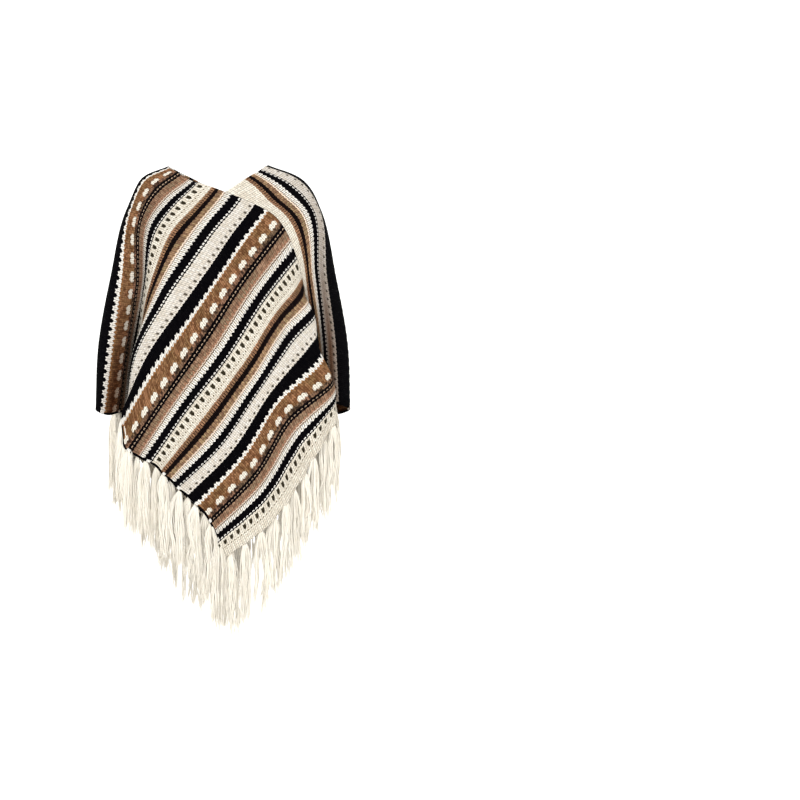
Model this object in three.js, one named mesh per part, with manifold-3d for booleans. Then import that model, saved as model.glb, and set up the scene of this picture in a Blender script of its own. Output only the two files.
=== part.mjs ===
// Knitted poncho sweater with a fringed hem, worn shape, hollow, in millimetres.
//
// The garment is cut as two equal knitted rectangles. The short end of each is sewn to the
// inner edge of the other, so the two make a cone with a V neck and a pointed hem, and the
// second rectangle is the first one turned half way round the upright axis.
// +Z is up and the front looks along -Y. The origin is midway between the two corners of the
// neck, on the line of the shoulders that carry the garment.
//
// u runs along a panel's long side, v across it. u = 0 is the free short end, v = 0 is the
// inner edge (seam up to u = PANEL_SHORT, neck from there on) and v = PANEL_SHORT is the hem.

import * as THREE from 'three';
import { mergeVertices } from 'three/addons/utils/BufferGeometryUtils.js';
import Module from 'manifold-3d';

const wasm = await Module();
wasm.setup();

// The cut and the knit
const PANEL_LONG = 920;
const PANEL_SHORT = 540;
const WALL = 3.2;
const SEAM_GAP = 0.3;
const GRID_STEP = 22.5;

// Short steps on the cloth that find its normal and the way out over an edge
const NORMAL_STEP = 1.5;
const EDGE_STEP = 4;

// The least share of a shared seam plane's direction in a panel's own normal
const MITRE_LEAST = 0.55;

// The wearer's stance: the neck leans a little to one side, and the back neck sits higher
const NECK_LEAN = 12;
const LEAN_REACH = 70;
const BACK_LIFT = 8;
const BACK_LIFT_START = 20;
const BACK_LIFT_FULL = 85;
const BACK_LIFT_LOW = -260;
const BACK_LIFT_HIGH = -60;

// Waves of the loose hem
const RIPPLE_LENGTH = 62;
const RIPPLE_HEIGHT = 5;
const RIPPLE_REACH = 130;
const RIPPLE_SIDE_FADE = 60;

// Fringe
const STRIP_DEPTH = 7;
const STRIP_TRIM = 9;
const STRAND_SPACING = 10.5;
const STRAND_CLEARANCE = 0.9;
const STRAND_SEARCH_STEP = 3;
const STRAND_ROOT_RADIUS = 3.3;
const STRAND_TIP_RADIUS = 2.2;
const STRAND_SIDES = 3;
const STRAND_OUT = 9;
const STRAND_DROP = 9;
const STRAND_LENGTH = 158;
const STRAND_UNEVEN = 10;
const STRAND_UNEVEN_TURN = 1.7;
const STRAND_ROOT_SHARE = 0.6;

const SAME_POINT = 1e-4;

const CREAM = 0xe7e2d8;
const BROWN = 0x8b6b4b;
const YARN_ROUGHNESS = 0.95;

// Where the sections' columns lie across the panel, as shares of its short side
const COLUMNS = [
  { name: 'inner', share: 0 },
  { name: 'yoke', share: 0.12 },
  { name: 'upper', share: 0.25 },
  { name: 'middle', share: 0.5 },
  { name: 'lower', share: 0.75 },
  { name: 'hem', share: 1 },
];

// A row for each section across the panel, from the free end round the side to the back.
// Each column holds where the cloth lies there, as [x, y, z].
const SECTIONS = [
  {
    u: 0,
    inner: [192, -14, -500], yoke: [214, -42, -510], upper: [239, -58, -525],
    middle: [177, -88, -639], lower: [103, -103, -750], hem: [-2, -108, -830],
  },
  {
    u: 140,
    inner: [188, -10, -412], yoke: [197, -40, -421], upper: [219, -60, -440],
    middle: [124, -100, -525], lower: [53, -112, -637], hem: [-41, -112, -737],
  },
  {
    u: 245,
    inner: [174, -22, -302], yoke: [183, -58, -314], upper: [143, -88, -359],
    middle: [67, -112, -469], lower: [-9, -120, -582], hem: [-103, -106, -677],
  },
  {
    u: 330,
    inner: [156, -65, -211], yoke: [122, -94, -256], upper: [86, -112, -304],
    middle: [15, -124, -417], lower: [-69, -118, -527], hem: [-146, -95, -636],
  },
  {
    u: 433,
    inner: [105, -91, -113], yoke: [66, -112, -168], upper: [25, -124, -227],
    middle: [-53, -122, -347], lower: [-134, -98, -468], hem: [-211, -68, -587],
  },
  {
    u: 485,
    inner: [60, -95, -88], yoke: [26, -111, -142], upper: [-4, -122, -198],
    middle: [-78, -117, -305], lower: [-154, -86, -410], hem: [-213, -60, -525],
  },
  {
    u: 540,
    inner: [2, -92, -64], yoke: [-30, -105, -115], upper: [-61, -112, -169],
    middle: [-133, -96, -283], lower: [-190, -62, -402], hem: [-202, -32, -527],
  },
  {
    u: 590,
    inner: [-27, -81, -52], yoke: [-68, -92, -101], upper: [-107, -95, -151],
    middle: [-158, -72, -277], lower: [-178, -20, -395], hem: [-192, -12, -526],
  },
  {
    u: 620,
    inner: [-48, -66, -44], yoke: [-91, -79, -89], upper: [-131, -80, -139],
    middle: [-164, -56, -266], lower: [-186, -7, -391], hem: [-200, -7, -526],
  },
  {
    u: 665,
    inner: [-70, -45, -34], yoke: [-119, -57, -71], upper: [-157, -62, -122],
    middle: [-172, -48, -254], lower: [-198, -34, -386], hem: [-214, -24, -525],
  },
  {
    u: 700,
    inner: [-94, -20, -14], yoke: [-146, -36, -50], upper: [-177, -46, -107],
    middle: [-187, -50, -254], lower: [-206, -50, -385], hem: [-225, -44, -527],
  },
  {
    u: 730,
    inner: [-103, -3, -7], yoke: [-161, -17, -38], upper: [-192, -28, -101],
    middle: [-206, -50, -253], lower: [-223, -52, -390], hem: [-243, -46, -531],
  },
  {
    u: 775,
    inner: [-106, 20, 1], yoke: [-170, 12, -27], upper: [-206, 5, -92],
    middle: [-239, -1, -236], lower: [-264, -5, -379], hem: [-269, -7, -517],
  },
  {
    u: 800,
    inner: [-98, 36, -3], yoke: [-161, 34, -31], upper: [-200, 34, -90],
    middle: [-217, 34, -238], lower: [-235, 34, -372], hem: [-243, 25, -508],
  },
  {
    u: 835,
    inner: [-80, 54, -15], yoke: [-137, 56, -47], upper: [-182, 56, -94],
    middle: [-197, 48, -228], lower: [-214, 38, -362], hem: [-225, 20, -502],
  },
  {
    u: 870,
    inner: [-52, 72, -31], yoke: [-107, 76, -69], upper: [-156, 74, -108],
    middle: [-185, 49, -248], lower: [-205, 22, -380], hem: [-209, 9, -500],
  },
];

// Soft drape folds: a ridge (or a trough, where the height is negative) from one place of the
// cloth to another
const FOLDS = [
  { fromU: 330, fromV: 60, toU: 60, toV: 330, width: 26, height: 6 },
  { fromU: 290, fromV: 30, toU: 30, toV: 240, width: 20, height: -6 },
  { fromU: 400, fromV: 110, toU: 70, toV: 440, width: 28, height: -5 },
  { fromU: 430, fromV: 180, toU: 120, toV: 500, width: 26, height: 5 },
  { fromU: 520, fromV: 150, toU: 420, toV: 420, width: 24, height: 4 },
  { fromU: 600, fromV: 80, toU: 520, toV: 300, width: 18, height: -4 },
  { fromU: 650, fromV: 60, toU: 590, toV: 240, width: 16, height: 3 },
];

const asDrawn = (p) => p.clone();
const turn = (p) => new THREE.Vector3(-p.x, -p.y, p.z);

// A smooth curve through values at uneven places, from the slopes of the three nearest
function smoothAt(places, values, t) {
  const last = places.length - 1;
  let k = 0;
  while (k < last - 1 && t > places[k + 1]) k += 1;
  const slope = (i) => {
    const before = Math.max(i - 1, 0);
    const after = Math.min(i + 1, last);
    if (before === i) return chord(i, i + 1);
    if (after === i) return chord(i - 1, i);
    const spanBefore = places[i] - places[before];
    const spanAfter = places[after] - places[i];
    const whole = spanBefore + spanAfter;
    return chord(before, i).multiplyScalar(spanAfter / whole)
      .addScaledVector(chord(i, after), spanBefore / whole);
  };
  const chord = (i, j) => values[j].clone().sub(values[i]).divideScalar(places[j] - places[i]);
  const span = places[k + 1] - places[k];
  const s = (t - places[k]) / span;
  const s2 = s * s;
  const s3 = s2 * s;
  return values[k].clone().multiplyScalar(2 * s3 - 3 * s2 + 1)
    .addScaledVector(slope(k), (s3 - 2 * s2 + s) * span)
    .addScaledVector(values[k + 1], 3 * s2 - 2 * s3)
    .addScaledVector(slope(k + 1), (s3 - s2) * span);
}

const columnPlaces = COLUMNS.map((column) => column.share * PANEL_SHORT);
const sectionPlaces = SECTIONS.map((section) => section.u);
const sectionPoints = SECTIONS.map((section) => (
  COLUMNS.map((column) => new THREE.Vector3(...section[column.name]))
));
const innerPoints = sectionPoints.map((points) => points[0]);

// The other panel's inner edge, which the far short end of this panel is sewn to
const farEnd = (v) => turn(smoothAt(sectionPlaces, innerPoints, PANEL_SHORT - v));

const smoothStep = (low, high, value) => THREE.MathUtils.smoothstep(value, low, high);

function foldHeight(u, v) {
  let height = 0;
  for (const fold of FOLDS) {
    const alongU = fold.toU - fold.fromU;
    const alongV = fold.toV - fold.fromV;
    const length2 = alongU * alongU + alongV * alongV;
    const t = ((u - fold.fromU) * alongU + (v - fold.fromV) * alongV) / length2;
    const place = THREE.MathUtils.clamp(t, 0, 1);
    const offU = u - fold.fromU - alongU * place;
    const offV = v - fold.fromV - alongV * place;
    const taper = Math.sin(Math.PI * THREE.MathUtils.clamp(t, 0, 1));
    height += fold.height * taper * Math.exp(-(offU * offU + offV * offV) / fold.width ** 2);
  }
  return height;
}

// Waves that grow towards the long hem and the free short end
function rippleHeight(u, v) {
  const towardsHem = Math.max(0, 1 - (PANEL_SHORT - v) / RIPPLE_REACH) ** 2;
  const towardsEnd = Math.max(0, 1 - u / RIPPLE_REACH) ** 2;
  const sideStart = PANEL_SHORT - 2 * RIPPLE_SIDE_FADE;
  const onFront = 1 - smoothStep(sideStart, sideStart + RIPPLE_SIDE_FADE, u);
  const clearOfSeam = smoothStep(RIPPLE_SIDE_FADE, 3 * RIPPLE_SIDE_FADE, v);
  const turnPerLength = (2 * Math.PI) / RIPPLE_LENGTH;
  const hemWave = Math.sin(u * turnPerLength) * towardsHem * onFront;
  const endWave = Math.sin(v * turnPerLength) * towardsEnd * clearOfSeam;
  return RIPPLE_HEIGHT * (hemWave + endWave * (1 - towardsHem));
}

function drape(u, v) {
  const places = [...sectionPlaces, PANEL_LONG];
  const across = sectionPoints.map((points) => smoothAt(columnPlaces, points, v));
  return smoothAt(places, [...across, farEnd(v)], u);
}

// The outward normal of the smooth sheet
function normalAt(u, v) {
  const u0 = Math.max(u - NORMAL_STEP, 0);
  const u1 = Math.min(u + NORMAL_STEP, PANEL_LONG);
  const v0 = Math.max(v - NORMAL_STEP, 0);
  const v1 = Math.min(v + NORMAL_STEP, PANEL_SHORT);
  const along = drape(u1, v).sub(drape(u0, v));
  const across = drape(u, v1).sub(drape(u, v0));
  return across.cross(along).normalize();
}

// The wearer's lean and the raised back neck, for a point of either panel
function settle(point) {
  const nearTop = Math.max(0, 1 + Math.min(point.z, 0) / LEAN_REACH);
  const back = smoothStep(BACK_LIFT_START, BACK_LIFT_FULL, point.y);
  const high = smoothStep(BACK_LIFT_LOW, BACK_LIFT_HIGH, point.z);
  return new THREE.Vector3(
    point.x - NECK_LEAN * nearTop * nearTop,
    point.y,
    point.z + BACK_LIFT * back * high,
  );
}

// A place on the cloth: the middle of the wall and the way its thickness is laid. At a seam
// both panels share one mitred plane, so that their edges face each other.
function clothFrame(u, v) {
  const own = normalAt(u, v);
  const height = foldHeight(u, v) + rippleHeight(u, v);
  const point = drape(u, v).addScaledVector(own, height);
  let partner = null;
  if (v === 0 && u <= PANEL_SHORT) partner = normalAt(PANEL_LONG, PANEL_SHORT - u);
  if (u === PANEL_LONG) partner = normalAt(PANEL_SHORT - v, 0);
  if (partner === null) return { point, normal: own };
  const shared = own.clone().add(turn(partner)).normalize();
  const mitre = Math.max(MITRE_LEAST, shared.dot(own));
  return { point, normal: shared.divideScalar(mitre) };
}

// Even samples up to the neck's point, and from there to the far end
function samplesAlong() {
  const seamCells = Math.round(PANEL_SHORT / GRID_STEP);
  const neckCells = Math.round((PANEL_LONG - PANEL_SHORT) / GRID_STEP);
  const places = [];
  for (let i = 0; i <= seamCells; i += 1) places.push((PANEL_SHORT * i) / seamCells);
  for (let i = 1; i <= neckCells; i += 1) {
    places.push(PANEL_SHORT + ((PANEL_LONG - PANEL_SHORT) * i) / neckCells);
  }
  return places;
}

// A closed solid from a grid of paired points, outer and inner
function solidFromGrid(outer, inner) {
  const rows = outer.length;
  const cols = outer[0].length;
  const positions = [];
  for (const side of [outer, inner]) {
    for (const row of side) {
      for (const p of row) positions.push(p.x, p.y, p.z);
    }
  }
  const at = (side, i, j) => side * rows * cols + i * cols + j;
  const index = [];
  const quad = (a, b, c, d) => index.push(a, b, c, a, c, d);
  for (let i = 0; i < rows - 1; i += 1) {
    for (let j = 0; j < cols - 1; j += 1) {
      quad(at(0, i, j), at(0, i, j + 1), at(0, i + 1, j + 1), at(0, i + 1, j));
      quad(at(1, i, j), at(1, i + 1, j), at(1, i + 1, j + 1), at(1, i, j + 1));
    }
  }
  // Every edge is split the same way, so that two edges that face each other stay parallel
  for (let i = 0; i < rows - 1; i += 1) {
    quad(at(0, i + 1, 0), at(1, i + 1, 0), at(1, i, 0), at(0, i, 0));
    quad(at(0, i + 1, cols - 1), at(0, i, cols - 1), at(1, i, cols - 1), at(1, i + 1, cols - 1));
  }
  const end = rows - 1;
  for (let j = 0; j < cols - 1; j += 1) {
    quad(at(0, 0, j + 1), at(0, 0, j), at(1, 0, j), at(1, 0, j + 1));
    quad(at(0, end, j), at(0, end, j + 1), at(1, end, j + 1), at(1, end, j));
  }
  const geometry = new THREE.BufferGeometry();
  geometry.setAttribute('position', new THREE.Float32BufferAttribute(positions, 3));
  geometry.setIndex(index);
  return geometry;
}

function finish(geometry, name, colour) {
  geometry.computeVertexNormals();
  const material = new THREE.MeshStandardMaterial({
    color: colour,
    roughness: YARN_ROUGHNESS,
    metalness: 0,
  });
  const mesh = new THREE.Mesh(geometry, material);
  mesh.name = name;
  return mesh;
}

// One knitted panel, as a wall on both sides of the draped sheet
function panelGeometry(place) {
  const alongPlaces = samplesAlong();
  const acrossPlaces = alongPlaces.filter((u) => u <= PANEL_SHORT);
  const outer = [];
  const inner = [];
  for (const u of alongPlaces) {
    const outerRow = [];
    const innerRow = [];
    for (const v of acrossPlaces) {
      const frame = clothFrame(u, v);
      const drawnIn = new THREE.Vector3();
      if (v === 0 && u <= PANEL_SHORT) drawnIn.add(awayFromEdge(u, v, 0, 1));
      if (u === PANEL_LONG) drawnIn.add(awayFromEdge(u, v, -1, 0));
      const half = frame.normal.clone().multiplyScalar(WALL / 2);
      const middle = frame.point.add(drawnIn);
      outerRow.push(place(middle.clone().add(half)));
      innerRow.push(place(middle.clone().sub(half)));
    }
    outer.push(outerRow);
    inner.push(innerRow);
  }
  return solidFromGrid(outer, inner);
}

// Half the seam's gap, from an edge into the cloth
function awayFromEdge(u, v, signU, signV) {
  const inside = drape(u + signU * EDGE_STEP, v + signV * EDGE_STEP);
  return inside.sub(drape(u, v)).normalize().multiplyScalar(SEAM_GAP / 2);
}

// The stretches of the hem: where each runs on the cloth, and which way the cloth lies
const HEMS = {
  long: {
    from: STRIP_TRIM,
    to: PANEL_LONG - STRIP_TRIM,
    at: (t) => [t, PANEL_SHORT],
    inward: [0, -1],
  },
  end: {
    from: STRIP_TRIM,
    to: PANEL_SHORT - STRIP_TRIM,
    at: (t) => [0, t],
    inward: [1, 0],
  },
};

function hemFrame(hem, t) {
  const [u, v] = hem.at(t);
  const { point, normal } = clothFrame(u, v);
  const inside = drape(u + hem.inward[0] * EDGE_STEP, v + hem.inward[1] * EDGE_STEP);
  const out = drape(u, v).sub(inside);
  out.addScaledVector(normal, -out.dot(normal)).normalize();
  return { point, normal, out };
}

function hemStops(hem) {
  const alongPlaces = samplesAlong().filter((t) => t > hem.from + 1 && t < hem.to - 1);
  return [hem.from, ...alongPlaces, hem.to];
}

// A frame on the straight stretch between two stops, where the strip's own middle lies
function stripFrame(stops, frames, t) {
  const k = Math.max(0, stops.findIndex((stop) => stop > t) - 1);
  const share = (t - stops[k]) / (stops[k + 1] - stops[k]);
  const blend = (name) => frames[k][name].clone().lerp(frames[k + 1][name], share);
  return {
    point: blend('point'),
    normal: blend('normal').normalize(),
    out: blend('out').normalize(),
  };
}

// The narrow strip that carries the strands, parted from the cloth's edge
function stripGeometry(hem, place) {
  const outer = [];
  const inner = [];
  for (const t of hemStops(hem)) {
    const { point, normal, out } = hemFrame(hem, t);
    const half = normal.clone().multiplyScalar(WALL / 2);
    const top = point.clone().addScaledVector(out, SEAM_GAP);
    const bottom = top.clone().addScaledVector(out, STRIP_DEPTH);
    outer.push([place(top.clone().add(half)), place(bottom.clone().add(half))]);
    inner.push([place(top.clone().sub(half)), place(bottom.clone().sub(half))]);
  }
  const geometry = solidFromGrid(outer, inner);
  if (hem === HEMS.end) geometry.setIndex([...geometry.index.array].reverse());
  return geometry;
}

// One strand: out of the strip, then straight down, tapering
function strandGeometry(root, place, extra = 0) {
  const rings = root.path.map((centre, k) => {
    const share = k / (root.path.length - 1);
    const radius = extra + THREE.MathUtils.lerp(STRAND_ROOT_RADIUS, STRAND_TIP_RADIUS, share);
    const ring = [];
    for (let i = 0; i < STRAND_SIDES; i += 1) {
      const angle = (2 * Math.PI * i) / STRAND_SIDES;
      const offset = root.side.clone().multiplyScalar(Math.cos(angle) * radius)
        .addScaledVector(root.front, Math.sin(angle) * radius);
      ring.push(place(centre.clone().add(offset)));
    }
    return ring;
  });
  const positions = rings.flat().flatMap((p) => [p.x, p.y, p.z]);
  const index = [];
  for (let k = 0; k < rings.length - 1; k += 1) {
    for (let i = 0; i < STRAND_SIDES; i += 1) {
      const j = (i + 1) % STRAND_SIDES;
      const a = k * STRAND_SIDES + i;
      const b = k * STRAND_SIDES + j;
      index.push(a, b, b + STRAND_SIDES, a, b + STRAND_SIDES, a + STRAND_SIDES);
    }
  }
  const end = (rings.length - 1) * STRAND_SIDES;
  for (let i = 1; i < STRAND_SIDES - 1; i += 1) {
    index.push(0, i + 1, i);
    index.push(end, end + i, end + i + 1);
  }
  const geometry = new THREE.BufferGeometry();
  geometry.setAttribute('position', new THREE.Float32BufferAttribute(positions, 3));
  geometry.setIndex(index);
  return geometry;
}

// Strand roots along one hem, none hanging within the spacing of another, nor of the same
// strand on the other panel, nor against the cloth
function strandRoots(hem, taken, cloth) {
  const roots = [];
  const stops = hemStops(hem);
  const frames = stops.map((stop) => hemFrame(hem, stop));
  const first = hem.from + STRAND_ROOT_RADIUS;
  const last = hem.to - STRAND_ROOT_RADIUS;
  for (let t = first; t < last; t += STRAND_SEARCH_STEP) {
    const { point, normal, out } = stripFrame(stops, frames, t);
    const centre = point.clone().addScaledVector(out, SEAM_GAP + STRIP_DEPTH * STRAND_ROOT_SHARE);
    const knee = centre.clone().addScaledVector(out, STRAND_OUT);
    knee.z -= STRAND_DROP;
    const apart = (other) => Math.hypot(other.x - knee.x, other.y - knee.y);
    if (taken.some((other) => apart(other) < STRAND_SPACING)) continue;
    const uneven = Math.sin(t * STRAND_UNEVEN_TURN) * STRAND_UNEVEN;
    const tip = knee.clone();
    tip.z -= STRAND_LENGTH + uneven;
    const front = new THREE.Vector3(normal.x, normal.y, 0).normalize();
    const side = new THREE.Vector3(front.y, -front.x, 0);
    const root = { path: [centre, knee, tip], side, front };
    const room = toManifold(strandGeometry(root, asDrawn, STRAND_CLEARANCE));
    if (!cloth.intersect(room).isEmpty()) continue;
    taken.push(knee.clone(), turn(knee));
    roots.push(root);
  }
  return roots;
}

// A boolean solid from a geometry, turned right side out
function toManifold(geometry) {
  const bare = new THREE.BufferGeometry();
  bare.setAttribute('position', geometry.getAttribute('position'));
  bare.setIndex(geometry.index);
  const merged = mergeVertices(bare, SAME_POINT);
  const vertProperties = new Float32Array(merged.getAttribute('position').array);
  let triVerts = new Uint32Array(merged.index.array);
  const build = () => new wasm.Manifold(new wasm.Mesh({ numProp: 3, vertProperties, triVerts }));
  let solid = build();
  if (solid.volume() < 0) {
    triVerts = triVerts.reverse();
    solid = build();
  }
  return solid;
}

function fromManifold(solid) {
  const mesh = solid.getMesh();
  const geometry = new THREE.BufferGeometry();
  geometry.setAttribute('position', new THREE.Float32BufferAttribute([...mesh.vertProperties], 3));
  geometry.setIndex([...mesh.triVerts]);
  return geometry;
}

function fringeGeometry(hem, roots, place) {
  let solid = toManifold(stripGeometry(hem, place));
  for (const root of roots) {
    solid = solid.add(toManifold(strandGeometry(root, place)));
  }
  return fromManifold(solid);
}

const strandPlaces = [];
const cloth = toManifold(panelGeometry(asDrawn)).add(toManifold(panelGeometry(turn)));
const longRoots = strandRoots(HEMS.long, strandPlaces, cloth);
const endRoots = strandRoots(HEMS.end, strandPlaces, cloth);

const SIDES = [
  { name: 'front', place: (p) => settle(p), colour: CREAM },
  { name: 'back', place: (p) => settle(turn(p)), colour: BROWN },
];

const poncho = new THREE.Group();
poncho.name = 'knitted_poncho_sweater';
for (const { name, place, colour } of SIDES) {
  const longFringe = fringeGeometry(HEMS.long, longRoots, place);
  const endFringe = fringeGeometry(HEMS.end, endRoots, place);
  poncho.add(finish(panelGeometry(place), `panel_${name}`, colour));
  poncho.add(finish(longFringe, `fringe_${name}_long`, CREAM));
  poncho.add(finish(endFringe, `fringe_${name}_end`, CREAM));
}

export default poncho;
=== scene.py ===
"""Looks of a knitted poncho sweater: striped chunky knit, sewn edges and a yarn fringe.

The garment is two equal knitted rectangles joined on the bias. Every place on the cloth is
worked out from (u, v): u runs along a panel from its free short end, v across it from the
inner edge to the long hem. Lengths of the cut are in millimetres here and become metres
where a mesh is made.
"""

import logging
import math
from collections.abc import Sequence
from dataclasses import dataclass, field
from enum import Enum

import bpy
import numpy as np
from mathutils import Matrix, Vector


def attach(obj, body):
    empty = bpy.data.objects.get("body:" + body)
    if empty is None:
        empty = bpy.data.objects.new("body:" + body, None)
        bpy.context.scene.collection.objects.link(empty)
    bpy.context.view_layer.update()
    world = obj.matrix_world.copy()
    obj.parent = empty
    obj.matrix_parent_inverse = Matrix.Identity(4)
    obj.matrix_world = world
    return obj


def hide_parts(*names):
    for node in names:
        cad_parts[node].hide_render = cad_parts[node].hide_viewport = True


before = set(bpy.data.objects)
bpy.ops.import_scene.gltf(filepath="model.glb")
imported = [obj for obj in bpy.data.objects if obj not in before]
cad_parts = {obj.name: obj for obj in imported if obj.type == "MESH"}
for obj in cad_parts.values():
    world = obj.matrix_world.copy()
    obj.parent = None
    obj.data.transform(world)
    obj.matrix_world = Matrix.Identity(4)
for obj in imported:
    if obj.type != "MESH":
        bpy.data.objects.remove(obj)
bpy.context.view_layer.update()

MM = 0.001
BODY = "root"

log = logging.getLogger("poncho")
Array = np.ndarray
Colour = tuple[float, float, float, float]
WHITE: Colour = (1.0, 1.0, 1.0, 1.0)


def linear(red: int, green: int, blue: int) -> Colour:
    """A screen colour as a shader socket takes it.

    Args:
        red: the screen's red, 0 to 255.
        green: the screen's green.
        blue: the screen's blue.

    Returns:
        The linear colour, with alpha 1.
    """
    parts = [c / 255 for c in (red, green, blue)]
    parts = [c / 12.92 if c <= 0.04045 else ((c + 0.055) / 1.055) ** 2.4 for c in parts]
    return (*parts, 1.0)


def smooth_step(low: float, high: float, value: Array) -> Array:
    """A soft step from 0 at low to 1 at high."""
    t = np.clip((np.asarray(value, dtype=float) - low) / (high - low), 0, 1)
    return t * t * (3 - 2 * t)


def put(name: str, data: bpy.types.ID) -> bpy.types.Object:
    """A new object at the scene's origin, with the given data."""
    made = bpy.data.objects.new(name, data)
    bpy.context.scene.collection.objects.link(made)
    return made


def unit(vectors: Array) -> Array:
    """The vectors at length 1."""
    return vectors / np.maximum(np.linalg.norm(vectors, axis=-1, keepdims=True), 1e-12)


class Yarn(Enum):
    """The dyed yarns, and one painted groove shade, as screen colours."""

    CREAM = (244, 236, 220)
    BRIGHT = (252, 247, 238)
    GREY_CREAM = (236, 229, 219)
    SHADED_CREAM = (208, 194, 172)
    PINK_CREAM = (250, 224, 200)
    BLACK = (6, 5, 8)
    CHARCOAL = (20, 18, 19)
    OLIVE_BLACK = (58, 52, 38)
    OLIVE = (122, 108, 82)
    # Not a yarn: painted shade in the grooves of the white ribbed bands
    PAINTED_GROOVE_SHADE = (158, 146, 122)
    STONE = (104, 96, 84)
    BROWN = (158, 110, 66)
    CHESTNUT = (98, 62, 38)
    DARK_BROWN = (64, 42, 30)
    UMBER = (126, 94, 74)
    TAN = (192, 166, 140)
    SAND = (184, 154, 114)
    COPPER = (184, 136, 98)
    ROSE_TAN = (172, 128, 102)
    TAUPE = (166, 138, 112)
    ESPRESSO = (24, 15, 14)

    @property
    def colour(self) -> Colour:
        """The yarn's linear colour."""
        return linear(*self.value)


class Figure(Enum):
    """The kinds of small slip-stitch figure that a band carries."""

    BLOCKS = "blocks"
    TEETH = "teeth"


@dataclass(frozen=True)
class Mark:
    """A small figure that repeats across the panel, in one yarn, within a band.

    It lies between two shares of the band's width. Teeth point from the first share to the
    second, and blocks fill the given share of each pitch, in millimetres.
    """

    figure: Figure
    yarn: Yarn
    start: float = 0.0
    end: float = 1.0
    pitch: float = 9.0
    fill: float = 0.5


@dataclass(frozen=True)
class Band:
    """One stripe of the repeat: its width in millimetres, its yarn and the yarn's flecks."""

    width: float
    ground: Yarn
    fleck: Yarn
    flecked: float = 0.3
    comb: float = 0.0
    welt: float = 0.6
    marks: tuple[Mark, ...] = ()


# One stitch, and how far its legs lean, as a share of a course
STITCH_WIDE = 540.0 / 63
STITCH_TALL = 6.4
STITCH_LEAN = 0.45

WHITE_STITCHES = Mark(Figure.BLOCKS, Yarn.BRIGHT, 0.38, 0.76, STITCH_WIDE, 0.64)

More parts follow.
